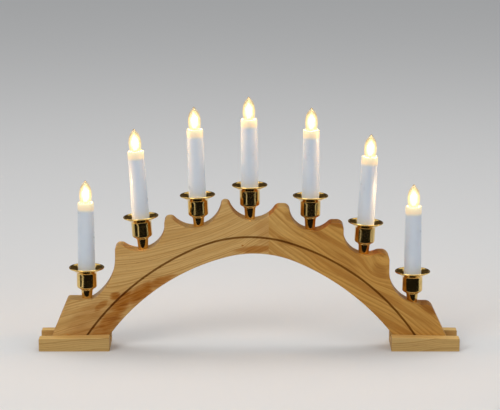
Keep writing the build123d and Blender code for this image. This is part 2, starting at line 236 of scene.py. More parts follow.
def build_end_grain():
    """End grain drinks the lacquer: the more a face looks along the grain, the darker it goes."""
    group, given = new_group("end_grain", ("Grain X", "Grain Z", "Most"), ("Color", "End"))
    grain_x, grain_z, most, colour, end = given
    vectors = {0: output(group, "NewGeometry", "Normal"), 1: combine(grain_x, 0.0, grain_z)}
    faced = output(group, "VectorMath", "Value", vectors, operation="DOT_PRODUCT")
    share = fade(faced.calc("ABSOLUTE"), 0.45, 0.95) * most
    return close_group(group, {"Share": share}, Color=blend(share, colour, end, "MULTIPLY"))


def build_satin_lacquer():
    """Roughness of a brushed satin lacquer: uneven in slow patches, smoother on the hard late wood
    and duller where end grain has drunk it."""
    group, (x, y, z, relief, end_share) = new_group("satin_lacquer", ("X", "Y", "Z", "Relief", "End Share"))
    worn = fade(noise((x * 0.05, y * 0.05, z * 0.05), detail=3.0), 0.3, 0.7, 0.42, 0.56)
    return close_group(group, {"Roughness": worn - relief * 0.05 + end_share * 0.2})


pine_grain = build_pine_grain()
end_grain = build_end_grain()
satin_lacquer = build_satin_lacquer()


def grain_place(tree, look):
    """The place in the board in millimetres, and how far it is along and across the grain. The grain
    runs in X with a slope and a cubic bend, both from the look."""
    x, y, z = [part * (1 / mm) for part in split(own_place(tree))]
    step = x - look["bend_x"]
    lift = step * look["slope"] + step * square(step) * look["bend"]
    return (x, y, z), x * look["cos"] + z * look["sin"], (z - lift) * look["cos"]


def lacquered(tree, look, place, colour, relief, specular=0.20):
    """Put wood on the surface, with end grain, satin lacquer and grain that can be felt."""
    end_share, colour = use_group(tree, end_grain, color=colour, end=look["end"], most=look["end_share"],
                                  grain_x=look["cos"], grain_z=look["sin"])
    x, y, z = place
    roughness = use_group(tree, satin_lacquer, x=x, y=y, z=z, relief=relief, end_share=end_share)[0]
    surface(tree, {"Base Color": colour, "Roughness": roughness, "Specular IOR Level": specular,
                   "Normal": bump(relief, 0.22, 0.25)})


def upward(tree):
    """How much a face looks up, from -1 to 1."""
    return split(output(tree, "NewGeometry", "Normal"))[2]


def plain_wood(name, look, painted_top_light=None):
    """Lacquered wood with nothing but its grain. Faces that look up can be made paler: painted light on the
    top.
    """
    material, tree = new_material(name)
    place, along, across = grain_place(tree, look)
    relief, colour = use_group(tree, pine_grain, along=along, depth=place[1], across=across, **look["grain"])
    if painted_top_light:
        # Painted light: faces that look up are made paler, as if lit from above.
        colour = blend(fade(upward(tree), 0.5, 0.95), colour, painted_top_light, "MULTIPLY")
    lacquered(tree, look, place, colour, relief)
    return material


def dress_piece(name, mesh, body, node, sharp):
    """Smooth a mesh but for its sharp edges, and put it on its body in its node's place."""
    mesh.polygons.foreach_set("use_smooth", [True] * len(mesh.polygons))
    mesh.set_sharp_from_angle(angle=radians(sharp))
    piece = bpy.data.objects.new(name, mesh)
    scene.collection.objects.link(piece)
    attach(piece, body)
    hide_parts(node)
    return piece


wood_edge_angle = 32.0
joining_distance = 0.001
flat_angle = 0.2


def sawn_copy(name, node, *woods):
    """A copy of a sawn solid with its loose triangles joined, and flat runs of them made one face."""
    mesh = frame["nodes"][node].data.copy()
    mesh.name = name
    mesh.materials.clear()
    sawn = bmesh.new()
    sawn.from_mesh(mesh)
    bmesh.ops.remove_doubles(sawn, verts=sawn.verts, dist=joining_distance * mm)
    bmesh.ops.dissolve_limit(sawn, angle_limit=radians(flat_angle), verts=sawn.verts, edges=sawn.edges)
    sawn.to_mesh(mesh)
    sawn.free()
    for wood in woods:
        mesh.materials.append(wood)
    return mesh


def dress_wood(name, mesh, node):
    """Put a wooden mesh on the fixed body, with its shading kept even over the flat faces."""
    piece = dress_piece(name, mesh, "root", node, wood_edge_angle)
    piece.modifiers.new("even shading", "WEIGHTED_NORMAL").keep_sharp = True


foot_look = dict(
    slope=0.012, bend_x=0.0, bend=0.0, cos=1.0, sin=0.0, end=(0.80, 0.68, 0.52, 1), end_share=0.75,
    grain=dict(pith_depth=30.0, pith_across=-46.0, ring_width=2.1, brown_share=0.25,
               pale=(0.560, 0.360, 0.130, 1), late=(0.400, 0.225, 0.064, 1), brown=(0.480, 0.285, 0.085, 1)),
)
# The feet's tops get painted light.
foot_pine = plain_wood("foot_pine", foot_look, painted_top_light=(1.50, 1.50, 1.45, 1))
for side in ("left", "right"):
    foot_mesh = sawn_copy(f"base_{side}", f"foot_{side}", foot_pine)
    dress_wood(f"base_{side}", foot_mesh, f"foot_{side}")


# Arch. A pine board band-sawn in two halves, glued edge to edge right of the crown: pale sapwood
# on the left with resin-stained patches, brown heartwood on the right. A V groove is routed along
# the face, and the hollows for the cups and the rounded tips between them are sanded and lacquered.

def build_grain_swirl():
    """Grain pushed aside round a knot: a bell-shaped push that dies out with distance."""
    group, given = new_group("grain_swirl", ("X", "Z", "Across", "Middle X", "Middle Z", "Reach", "Push"))
    x, z, across, middle_x, middle_z, reach, push = given
    distance = square((x - middle_x) / reach) + square((z - middle_z) / reach)
    return close_group(group, {"Across": across + (distance * -1.0).calc("EXPONENT") * push})


def build_resin_mark():
    """Share from 0 to the strength of an oval stain: one in its middle, fading past its turned
    half length and half width, with a ragged edge."""
    group, given = new_group("resin_mark", ("X", "Z", "Middle X", "Middle Z", "Half Length", "Half Width",
                                            "Tilt", "Strength", "Ragged"))
    x, z, middle_x, middle_z, half_length, half_width, tilt, strength, ragged = given
    turn = tilt * radians(1.0)
    turn_cos, turn_sin = turn.calc("COSINE"), turn.calc("SINE")
    step_x, step_z = x - middle_x, z - middle_z
    run = (step_x * turn_cos + step_z * turn_sin) / half_length
    rise = (step_z * turn_cos - step_x * turn_sin) / half_width
    share = fade(square(run) + square(rise) + ragged, 0.15, 1.25, 1.0, 0.0)
    return close_group(group, {"Share": share * strength})


grain_swirl = build_grain_swirl()
resin_mark = build_resin_mark()
mark_values = ("middle_x", "middle_z", "half_length", "half_width", "tilt", "strength")
swirl_values = ("middle_x", "middle_z", "reach", "push")


def stained(tree, look, marks, place, along, across, colour):
    """Resin stains over the wood: the strongest of the marks at each place, with their edges drawn
    out along the grain and darker streaks inside."""
    x, y, z = place
    ragged = spread(noise((along * 0.055, y * 0.05, across * 0.24), detail=5.0, roughness=0.55), 1.9)
    share = None
    for mark in marks:
        values = dict(zip(mark_values, mark), x=x, z=z, ragged=ragged)
        here = use_group(tree, resin_mark, **values)[0]
        share = share.calc("MAXIMUM", here) if share else here
    streaks = noise((along * 0.06, y * 0.2, across * 0.75), detail=3.0)
    share = share * fade(streaks, 0.28, 0.58, 0.78, 1.0)
    deep = share * fade(streaks, 0.44, 0.68, 0.0, 0.60)
    return blend(deep, blend(share, colour, look["stain"]), look["deep"])


def arch_wood(name, look, marks, swirls, painted_groove_shade):
    """Lacquered pine with knots' swirls, resin stains and perhaps a paler run near the joint. In the
    groove the wood gets painted shade, darker and browner, less so on the wall that looks up."""
    material, tree = new_material(name)
    place, along, across = grain_place(tree, look)
    x, y, z = place
    for swirl in swirls:
        values = dict(zip(swirl_values, swirl), x=x, z=z, across=across)
        across = use_group(tree, grain_swirl, **values)[0]
    relief, colour = use_group(tree, pine_grain, along=along, depth=y, across=across, **look["grain"])
    colour = stained(tree, look, marks, place, along, across, colour)
    if "sapwood" in look:
        near_joint = fade(x, *look["sapwood_run"], look["sapwood_share"], 0.0)
        colour = blend(near_joint, colour, look["sapwood"], "MULTIPLY")
    if painted_groove_shade:
        # Painted shade in the routed groove: darker and browner, less so on the wall that looks up.
        burn = fade(upward(tree), -0.1, 0.7, 0.42, 0.88)
        colour = blend(1.0, colour, combine(burn, burn * 0.74, burn * 0.48), "MULTIPLY")
    lacquered(tree, look, place, colour, relief, specular=0.05 if painted_groove_shade else 0.20)
    return material


# Depths from the face in millimetres, and how much of a groove wall's normal looks forward
groove_reach = 2.0
groove_least = 1.5
groove_slant = 0.5
slant_play = 0.06


def read(items, name, width=1, kind=np.float32):
    """One value of every item of a mesh, as rows of a width."""
    values = np.empty(len(items) * width, kind)
    items.foreach_get(name, values)
    return values.reshape(-1, width)


def dress_half(side, look, marks, swirls):
    """Dress half of the arch. The V groove's faces are those that slant by 60 degrees, near the front
    and deeper than any rounded edge."""
    wood = arch_wood(f"pine_{side}", look, marks, swirls, painted_groove_shade=False)
    groove_wood = arch_wood(f"pine_{side}_groove", look, marks, swirls, painted_groove_shade=True)
    mesh = sawn_copy(f"board_{side}", f"arch_{side}_half", wood, groove_wood)
    depths = read(mesh.vertices, "co", 3)[:, 1]
    front = depths.min()
    corners = read(mesh.loops, "vertex_index", kind=np.int32)[:, 0]
    starts = read(mesh.polygons, "loop_start", kind=np.int32)[:, 0]
    deepest = np.maximum.reduceat(depths[corners] - front, starts)
    near = read(mesh.polygons, "center", 3)[:, 1] - front < groove_reach * mm
    slanted = np.abs(read(mesh.polygons, "normal", 3)[:, 1] + groove_slant) < slant_play
    # Faces of the groove, which take the wood with painted shade.
    painted_groove_shade = near & slanted & (deepest > groove_least * mm)
    mesh.polygons.foreach_set("material_index", painted_groove_shade.astype(np.int32))
    dress_wood(f"board_{side}", mesh, f"arch_{side}_half")


left_look = dict(
    slope=0.19, bend_x=-120.0, bend=0.85e-5, cos=0.96, sin=0.28, end=(0.82, 0.58, 0.28, 1), end_share=0.90,
    grain=dict(pith_depth=62.0, pith_across=-112.0, ring_width=2.5, brown_share=0.55,
               pale=(0.610, 0.378, 0.134, 1), late=(0.430, 0.228, 0.060, 1), brown=(0.500, 0.275, 0.076, 1)),
    stain=(0.350, 0.112, 0.003, 1), deep=(0.190, 0.044, 0.001, 1),
)
right_look = dict(
    slope=-0.56, bend_x=115.0, bend=-1.2e-5, cos=0.85, sin=-0.52, end=(0.92, 0.58, 0.24, 1), end_share=0.95,
    grain=dict(pith_depth=44.0, pith_across=150.0, ring_width=3.7, brown_share=0.95,
               pale=(0.565, 0.300, 0.066, 1), late=(0.365, 0.155, 0.025, 1), brown=(0.420, 0.186, 0.031, 1)),
    stain=(0.310, 0.110, 0.010, 1), deep=(0.190, 0.060, 0.005, 1),
    sapwood=(1.08, 1.22, 1.65, 1), sapwood_run=(22.0, 78.0), sapwood_share=0.85,
)

# Resin stains: place in X and Z, half length, half width, tilt in degrees and strength
left_marks = (
    (-137.1, 55.4, 6.5, 4.5, 20.0, 0.95),
    (-152.0, 44.5, 10.0, 4.0, 42.0, 0.75),
    (-130.5, 46.0, 23.0, 8.5, 46.0, 1.00),
    (-112.0, 58.0, 23.0, 8.5, 38.0, 1.00),
    (-93.0, 69.5, 20.0, 5.5, 22.0, 0.85),
    (-141.0, 31.0, 22.0, 10.0, 50.0, 0.90),
    (-150.0, 17.0, 16.0, 12.0, 50.0, 0.65),
    (-163.0, 25.0, 32.0, 20.0, 50.0, 0.34),
    (6.0, 104.5, 25.0, 4.2, 4.0, 0.75),
    (-6.8, 108.3, 1.5, 1.1, 10.0, 1.00),
    (18.0, 124.0, 15.0, 16.0, 0.0, 0.22),
)
right_marks = (
    (36.0, 112.0, 10.0, 5.0, -20.0, 0.50),
    (133.0, 82.0, 12.0, 7.0, -45.0, 0.55),
    (183.0, 42.5, 14.0, 4.5, -36.0, 0.90),
    (88.0, 131.5, 14.0, 4.5, -14.0, 0.90),
    (131.0, 101.0, 10.0, 4.5, -20.0, 0.75),
    (64.0, 124.0, 22.0, 3.0, -33.0, 0.55),
    (96.0, 96.0, 22.0, 2.6, -32.0, 0.45),
    (42.0, 138.0, 9.0, 5.0, -30.0, 0.50),
)
# Swirls of the grain: place in X and Z, reach and push
left_swirls = ((-6.8, 108.3, 6.0, 2.0), (-137.1, 55.4, 9.0, 3.0), (-104.0, 64.0, 12.0, -4.0))
right_swirls = ((131.0, 84.0, 17.0, 11.0), (60.0, 108.0, 20.0, -4.0))
dress_half("left", left_look, left_marks, left_swirls)
dress_half("right", right_look, right_marks, right_swirls)


# Dowels. Two turned beech pegs with glue grooves, pressed and glued across the joint of the
# crown, one above the other. Nothing of them shows once the halves are together.

class Spot:
    """A place with its own axis: a candle's, a screw's or a dowel's. Heights go along the axis."""

    def __init__(self, foot, axis, across):
        self.foot = np.asarray(foot, float)
        self.axis = np.asarray(axis, float)
        self.across = np.asarray(across, float)
        self.side = np.cross(self.axis, self.across)

    def place(self, x, y, height):
        """Points in metres: the foot, plus x across, y to the side and the height along the axis."""
        steps = np.multiply.outer(x, self.across) + np.multiply.outer(y, self.side)
        return self.foot + mm * (steps + np.multiply.outer(height, self.axis))


def line(start, end, count):
    """Evenly spaced points of a straight run in a profile, without its end."""
    return np.linspace(start, end, count, endpoint=False)


map_name = "turned"
map_height = 200.0


def skin(rings, heights, ends=None, end_heights=None):
    """Join rings of points into a closed skin: quads from each ring to the next, wrapped round. With
    ends, a fan of triangles closes each end; without them the last ring joins the first. The faces
    come as pairs: their corners, and their places on a map of the share of a turn and the height."""
    count, steps = rings.shape[:2]
    low = np.arange(count if ends is None else count - 1)[:, None]
    high = (low + 1) % count
    step = np.arange(steps)[None]
    beside = (step + 1) % steps
    here, there, level = step / steps, (step + 1) / steps, heights / map_height

    def faces(corners, places):
        """Faces from the numbers of their corners and the two numbers of each corner's place."""
        corners = np.stack(np.broadcast_arrays(*corners), -1).reshape(-1, len(corners))
        return corners, np.stack(np.broadcast_arrays(*places), -1).reshape(*corners.shape, 2)

    foot_row, top_row = low * steps, high * steps
    parts = [faces((foot_row + step, foot_row + beside, top_row + beside, top_row + step),
                   (here, level[low], there, level[low], there, level[high], here, level[high]))]
    points = rings.reshape(-1, 3)
    if ends is None:
        return points, parts
    tip, rim, middle = len(points), (count - 1) * steps, (here + there) / 2
    foot, top = end_heights / map_height
    parts.append(faces((tip, beside, step), (middle, foot, there, level[0], here, level[0])))
    parts.append(faces((tip + 1, rim + step, rim + beside), (middle, top, here, level[-1], there, level[-1])))
    return np.vstack([points, ends]), parts


def turned(spot, profile, steps, swell=None):
    """A turned solid: a circle of each row's radius at its height on the spot's axis. The profile
    starts and ends on the axis, or closes on itself. A swell moves the grid's radii and heights."""
    rows = np.asarray(profile, float)
    pointed = rows[0, 0] == 0
    rings = rows[1:-1] if pointed else rows
    turn = np.arange(steps) * 2 * pi / steps
    radius, height = (np.repeat(rings[:, [number]], steps, 1) for number in (0, 1))
    if swell:
        radius, height = swell(radius, height, turn[None])
    around = spot.place(radius * np.cos(turn), radius * np.sin(turn), height)
    if not pointed:
        return skin(around, rings[:, 1])
    tips = spot.place(np.zeros(2), np.zeros(2), rows[[0, -1], 1])
    return skin(around, rings[:, 1], tips, rows[[0, -1], 1])


def signed_volume(points, parts):
    """Six times the volume inside a skin: the sum of the boxes that its triangles span."""
    triangles = np.vstack([corners[:, [0, next_corner, next_corner + 1]] for corners, _ in parts
                           for next_corner in range(1, corners.shape[1] - 1)])
    first, second, third = (points[triangles] - points.mean(0)).transpose(1, 0, 2)
    return np.sum(first * np.cross(second, third))


def make_piece(name, shapes, body, node, sharp=40.0):
    """Make one piece from closed skins, each with its material. A skin with a volume below zero is
    inside out, so the corners of its faces are taken the other way round."""
    points, faces, places, numbers = [], [], [], []
    materials = list(dict.fromkeys(material for _, material in shapes))
    for (skin_points, parts), material in shapes:
        way = -1 if signed_volume(skin_points, parts) < 0 else 1
        for corners, corner_places in parts:
            faces += (corners[:, ::way] + len(points)).tolist()
            places.append(corner_places[:, ::way].reshape(-1, 2))
            numbers += [materials.index(material)] * len(corners)
        points += skin_points.tolist()
    mesh = bpy.data.meshes.new(name)
    mesh.from_pydata(points, [], faces)
    layer = mesh.uv_layers.new(name=map_name)
    layer.data.foreach_set("uv", np.vstack(places).astype(np.float32).ravel())
    mesh.polygons.foreach_set("material_index", numbers)
    for material in materials:
        mesh.materials.append(material)
    return dress_piece(name, mesh, body, node, sharp)


beech_grain = dict(foot_look["grain"], pale=(0.66, 0.47, 0.30, 1), late=(0.52, 0.33, 0.19, 1),
                   brown=(0.60, 0.41, 0.25, 1))
beech = plain_wood("beech", dict(foot_look, grain=beech_grain))
dowel_radius = 3.0
dowel_end_radius = 2.3
dowel_bevel = 0.8
groove_start = 1.5
dowel_grooves = 18
dowel_groove_depth = 0.12
dowel_low, dowel_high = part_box("crown_dowels")
dowel_half = (dowel_high.x - dowel_low.x) / 2 / mm


def dowel_swell(radius, height, turn):
    """Glue grooves: a cosine round the dowel, taken off its radius."""
    groove = 0.5 + 0.5 * np.cos(dowel_grooves * turn)
    return radius - dowel_groove_depth * groove, height


dowel_profile = np.vstack([
    [(0.0, -dowel_half), (dowel_end_radius, -dowel_half), (dowel_radius, dowel_bevel - dowel_half)],
    line((dowel_radius, groove_start - dowel_half), (dowel_radius, dowel_half - dowel_bevel), 6),
    [(dowel_radius, dowel_half - dowel_bevel), (dowel_end_radius, dowel_half), (0.0, dowel_half)],
])
dowels = []
for dowel_height in (dowel_low.z + dowel_radius * mm, dowel_high.z - dowel_radius * mm):
    dowel_middle = ((dowel_low.x + dowel_high.x) / 2, (dowel_low.y + dowel_high.y) / 2, dowel_height)
    dowels.append((turned(Spot(dowel_middle, (1, 0, 0), (0, 0, 1)), dowel_profile, 72, dowel_swell), beech))
make_piece("dowel_pegs", dowels, "root", "crown_dowels")


# Screws. Four zinc-plated countersunk wood screws, rolled with a sharp thread and a cross recess,
# driven up through the feet into the legs of the arch. Their heads lie just inside the underside.

def build_tarnish():
    """Bright metal that has been handled: smudges that dull it, and specks of tarnish inside them."""
    group, given = new_group("tarnish", ("Bright Roughness", "Dull Roughness"), ("Bright", "Tarnished"))
    bright_roughness, dull_roughness, bright, tarnished = given
    smudges = noise(own_place(group), scale=95.0, detail=4.0, roughness=0.6)
    specks = noise(own_place(group), scale=420.0, detail=3.0, roughness=0.7)
    share = fade(smudges, 0.50, 0.75) * fade(specks, 0.40, 0.70, 0.25, 0.9)
    roughness = fade(smudges, 0.35, 0.70, bright_roughness, dull_roughness)
    return close_group(group, {"Roughness": roughness}, Color=blend(share, bright, tarnished))


tarnish = build_tarnish()


def metal(name, bright, tarnished, bright_roughness, dull_roughness, marks=None):
    """Bright metal with tarnish in its colour and roughness. Marks give it a worked surface."""
    material, tree = new_material(name)
    roughness, colour = use_group(tree, tarnish, bright=bright, tarnished=tarnished,
                                  bright_roughness=bright_roughness, dull_roughness=dull_roughness)
    relief = {"Normal": marks(tree)} if marks else {}
    surface(tree, {"Base Color": colour, "Roughness": roughness, "Metallic": 1.0, **relief})
    return material


# Heights go up from the head's face. A thread's crest and flank are shares of half a step
screw_length = 20.0
screw_spacing = 28.0
screw_head_radius = 3.6
head_face = 0.05
recess_depth = 1.3
recess_half_width = 0.75
recess_reach = 2.1
shank_radius = 1.75
point_start = 17.0
thread_start = 4.0
thread_step = 1.6
thread_depth = 0.35
thread_crest = 0.1875
thread_flank = 0.625


def ramp(value, start, run):
    """Share from 0 to 1 as a value passes a start, over a run that may go either way."""
    return np.clip((value - start) / run, 0, 1)


def screw_swell(radius, height, turn):
    """Cross recess: the head's face sinks where both arms of a cross meet it. Thread: the shank is
    cut back by a ramp that climbs one step a turn, with a crest and two flanks."""
    arms = np.minimum(np.abs(radius * np.cos(turn)), np.abs(radius * np.sin(turn)))
    cross = ramp(arms, recess_half_width, -0.25) * ramp(radius, recess_reach, -0.4)
    phase = height / thread_step - turn / (2 * pi)
    from_crest = np.abs(phase - np.round(phase)) * 2
    cut = ramp(height, thread_start, 1.0) * ramp(from_crest, thread_crest, thread_flank) * ramp(radius, 0, 1)
    return radius - cut * thread_depth, height + (height < head_face) * cross * recess_depth


screw_profile = np.vstack([
    [(0.0, 0.0)],
    line((0.3, 0.0), (3.45, 0.0), 14),
    [(3.5, 0.02), (screw_head_radius, 0.12), (3.55, 0.25), (1.8, 2.1), (shank_radius, 2.4)],
    line((shank_radius, 2.6), (shank_radius, point_start), 90),
    line((shank_radius, point_start), (0.1, screw_length - 0.1), 18),
    [(0.0, screw_length)],
])
zinc_steel = metal("zinc_steel", (0.66, 0.67, 0.68, 1), (0.40, 0.40, 0.41, 1), 0.26, 0.42)
screw_low, screw_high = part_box("foot_screws")
screws = []
for outer, inward in ((screw_low.x, 1), (screw_high.x, -1)):
    for step in (0.0, screw_spacing):
        screw_x = outer + inward * (screw_head_radius + step) * mm
        screw_spot = Spot((screw_x, 0.0, screw_low.z), (0, 0, 1), (1, 0, 0))
        screws.append((turned(screw_spot, screw_profile, 48, screw_swell), zinc_steel))
make_piece("countersunk_screws", screws, "root", "foot_screws", sharp=30.0)


# Cups. Each is spun from thin brass and polished: a stem pushed into the board, a tapered neck
# with a bead, a round-bottomed body that holds the candle, and a wide drip pan with a rolled rim.

def arc(middle, radius, start, end, count):
    """Points of an arc in a profile, with angles in degrees from outward towards up."""
    angles = np.radians(np.linspace(start, end, count))
    return np.stack([middle[0] + radius * np.cos(angles), middle[1] + radius * np.sin(angles)], 1)


def curve(points, count):
    """Points of a smooth curve between two ends, drawn towards the points between them: each step
    blends neighbours until one point is left."""
    share = np.linspace(0, 1, count)[:, None]
    points = [np.asarray(point, float)[None] * np.ones_like(share) for point in points]
    while len(points) > 1:
        points = [low * (1 - share) + high * share for low, high in zip(points, points[1:])]
    return points[0]


def turned_place(tree):
    """Share of a turn and height in millimetres on a turned piece, from its map."""
    turn, height, _ = split(output(tree, "UVMap", 0, uv_map=map_name))
    return turn, height * map_height


def build_round_noise():
    """Noise round a turned piece and up it. The turn is laid on a circle, so that the noise meets
    itself after a whole turn."""
    group, (turn, reach, height, step) = new_group("round_noise", ("Turn", "Reach", "Height", "Step"))
    angle = turn * (2 * pi)
    place = (angle.calc("COSINE") * reach, angle.calc("SINE") * reach, height * step)
    return close_group(group, {"Noise": noise(place)})


round_noise = build_round_noise()


def noise_round(turn, reach, height, step):
    """The round noise at a place, in a material or in another group."""
    return use_group(turn.tree, round_noise, turn=turn, reach=reach, height=height, step=step)[0]


def spinning_marks(tree):
    """Fine rings from spinning, and shallow dents from handling, as a normal."""
    turn, height = turned_place(tree)
    dents = noise(own_place(tree), scale=260.0, detail=1.0)
    return bump(noise_round(turn, 0.5, height, 5.0) * 0.4 + dents, 0.35, 0.05)


# Heights on a candle's axis are counted from the foot of the cup's neck, where it meets the wood
neck_top = 11.9
ring_top = 13.4
cup_floor = 14.4
cup_mouth = 31.0
rim_height = 35.9
stem_floor = -12.0
stem_radius = 4.0
neck_radius = 4.9
pan_radius = 18.2
rim_radius = 0.8
body_radius = 10.3
bore_radius = 9.3
wire_way_radius = 2.4
sleeve_top = 103.3


def candle_spots():
    """A place for each candle, from the bulb's own hinge: its axis and the top of its sleeve."""
    for joint in frame["joints"]:
        if joint["name"].startswith("bulb_turn"):
            axis = np.asarray(joint["axis"], float)
            axis /= np.linalg.norm(axis)
            foot = np.asarray(joint["pos_m"], float) - axis * sleeve_top * mm
            yield Spot(foot, axis, (axis[2], 0.0, -axis[0]))


spots = list(enumerate(candle_spots(), 1))


def turn_on_candles(name, node, body, profile, material, steps, swell=None, sharp=40.0):
    """Turn one piece on every candle's axis. The body may hold {} for the candle's number."""
    return [make_piece(f"{name}_{number}", [(turned(spot, profile, steps, swell), material)],
                       body.format(number), f"{node}_{number}", sharp) for number, spot in spots]


# Closed profile, from the bore in the stem round the outside to the inside
cup_profile = np.vstack([
    [(wire_way_radius, stem_floor), (stem_radius - 0.4, stem_floor), (stem_radius, stem_floor + 0.4)],
    [(stem_radius, 0.0), (neck_radius - 0.15, 0.0), (neck_radius, 0.15)],
    curve([(neck_radius, 0.15), (5.2, 3.5), (5.55, 8.5), (6.0, neck_top)], 12),
    arc((6.05, (neck_top + ring_top) / 2), 0.7, -86.0, 86.0, 11),
    curve([(6.4, ring_top + 0.02), (8.6, ring_top + 0.1), (body_radius, ring_top + 1.2),
           (body_radius, ring_top + 3.0)], 18),
    line((body_radius, ring_top + 3.3), (body_radius, cup_mouth - 1.6), 6),
    curve([(body_radius, cup_mouth - 1.6), (body_radius, cup_mouth - 0.8),
           (body_radius + 0.9, cup_mouth - 0.25)], 8),
    curve([(body_radius + 1.2, cup_mouth - 0.08), (14.2, cup_mouth + 1.6), (17.05, rim_height - 1.45)], 12),
    arc((pan_radius - rim_radius, rim_height - rim_radius), rim_radius, -80.0, 158.0, 18),
    curve([(16.45, rim_height - 0.95), (13.4, cup_mouth + 2.35), (body_radius + 0.5, cup_mouth + 0.55)], 12),
    curve([(body_radius + 0.2, cup_mouth + 0.38), (body_radius - 0.7, cup_mouth - 0.15),
           (bore_radius, cup_mouth - 0.3), (bore_radius, cup_mouth - 1.2)], 9),
    line((bore_radius, cup_mouth - 1.5), (bore_radius, cup_floor + 0.9), 5),
    arc((bore_radius - 0.9, cup_floor + 0.9), 0.9, 0.0, -90.0, 6),
    [(2.9, cup_floor), (wire_way_radius, cup_floor - 0.4)],
])
cup_brass = metal("cup_brass", (0.84, 0.59, 0.21, 1), (0.40, 0.24, 0.06, 1), 0.07, 0.17, spinning_marks)
turn_on_candles("brass_cup", "cup", "root", cup_profile, cup_brass, 112)


# Candle sleeves. Tapered tubes moulded in satin white plastic, with a rounded lip and a web inside
# that the socket is seated on. The thin wall round the bulb's foot glows with its light.

scatter_depth = 1.2
lit_depth = 9.5
glow_strength = 0.26
sleeve_floor = 14.5
sleeve_foot_radius = 9.0
sleeve_lip_radius = 8.25
lip_round = 1.1
mouth_radius = 6.3
seat_radius = 5.7
web_hole_radius = 1.7
hollow_radius = 6.85
shell_top = 98.1
web_top = 86.9
web_floor = 83.9


def moulded_plastic():
    """Satin white moulding with a faint mottle and flow lines. Above the brass shell the bulb's light
    is painted on the wall: it is warmed and glows from an uneven height up to the lip."""
    material, tree = new_material("sleeve_plastic")
    turn, height = turned_place(tree)
    mottle = noise(own_place(tree), scale=55.0, detail=4.0)
    flow = noise_round(turn, 4.0, height, 0.02)
    colour = blend(fade(mottle, 0.35, 0.65), (0.632, 0.692, 0.765, 1), (0.668, 0.722, 0.788, 1))
    colour = blend(fade(flow, 0.45, 0.75, 0.0, 0.35), colour, (0.655, 0.685, 0.725, 1))
    below_lip = height + spread(noise_round(turn, 0.8, height, 0.0), 1.2) - sleeve_top
    lit = fade(below_lip, -lit_depth, -0.62 * lit_depth)
    hot = fade(below_lip, -0.7 * lit_depth, 0.5, 0.0, glow_strength)
    # Painted light from the bulb: the lit wall's colour is warmed and it gives light of its own.
    surface(tree, {
        "Base Color": blend(lit, colour, (0.72, 0.62, 0.46, 1)),
        "Roughness": fade(mottle, 0.3, 0.7, 0.27, 0.36),
        "Subsurface Weight": 0.25, "Subsurface Radius": (1.0, 0.75, 0.55),
        "Subsurface Scale": scatter_depth * mm,
        "Emission Color": (1.0, 0.80, 0.44, 1), "Emission Strength": lit * glow_strength + hot,
        "Normal": bump(flow * 0.6 + mottle, 0.12, 0.1),
    })
    return material


# Closed profile: up the outside, over the lip and down the inside
sleeve_profile = np.vstack([
    arc((sleeve_foot_radius - 0.4, sleeve_floor + 0.4), 0.4, -90.0, -5.0, 4),
    line((sleeve_foot_radius, sleeve_floor + 0.45), (sleeve_lip_radius, sleeve_top - lip_round), 40),
    arc((sleeve_lip_radius - lip_round, sleeve_top - lip_round), lip_round, 0.0, 84.0, 9),
    [(6.9, sleeve_top), (6.55, sleeve_top - 0.08), (mouth_radius, sleeve_top - 0.4)],
    [(mouth_radius, shell_top + 0.02), (seat_radius + 0.05, shell_top), (seat_radius, shell_top - 0.1)],
    [(seat_radius, web_top), (web_hole_radius, web_top), (web_hole_radius, web_floor)],
    [(hollow_radius, web_floor), (hollow_radius, sleeve_floor + 0.3), (7.1, sleeve_floor)],
])
turn_on_candles("sleeve", "candle_sleeve", "candle_{}", sleeve_profile,
                moulded_plastic(), 72)


# Screw shells. Pressed brass, rolled into a thread and seated in the top of each sleeve: the outer
# contact of the lamp socket.

shell_floor = 87.0
shell_radius = 5.6
shell_bore_radius = 5.1
shell_thread_depth = 0.18
thread_pitch = 1.8143
thread_run_out = 0.5


def threaded(low, high, depth):
    """Swell for a turned piece: a rounded helix that climbs one pitch a turn, sunk into the wall
    between two heights and dying out at both. Cap and shell share it, so they stay in mesh."""
    def swell(radius, height, turn):
        phase = height / thread_pitch - turn / (2 * pi)
        wave = 0.5 - 0.5 * np.cos(2 * pi * phase)
        ends = ramp(height, low, thread_run_out) * ramp(height, high, -thread_run_out)
        return radius - depth * wave * ends, height
    return swell


# Closed profile of a thin wall: up the outside, over the lip and down the bore
shell_profile = np.vstack([
    line((shell_radius, shell_floor), (shell_radius, shell_top - 0.3), 56),
    [(shell_radius, shell_top - 0.3), (5.55, shell_top - 0.05), (5.35, shell_top), (5.12, shell_top - 0.1)],
    line((shell_bore_radius, shell_top - 0.4), (shell_bore_radius, shell_floor), 56),
    [(shell_bore_radius, shell_floor), (5.3, shell_floor - 0.02)],
])
socket_brass = metal("socket_brass", (0.82, 0.62, 0.30, 1), (0.50, 0.33, 0.14, 1), 0.18, 0.32)
shell_swell = threaded(shell_floor + 0.6, shell_top - 0.9, shell_thread_depth)
turn_on_candles("shell", "socket_shell", "candle_{}", shell_profile, socket_brass, 48,
                shell_swell)


# Middle contacts. Turned spring brass: a domed head that presses on the bulb's button, a pin that
# slides in the web, and a stop under it.

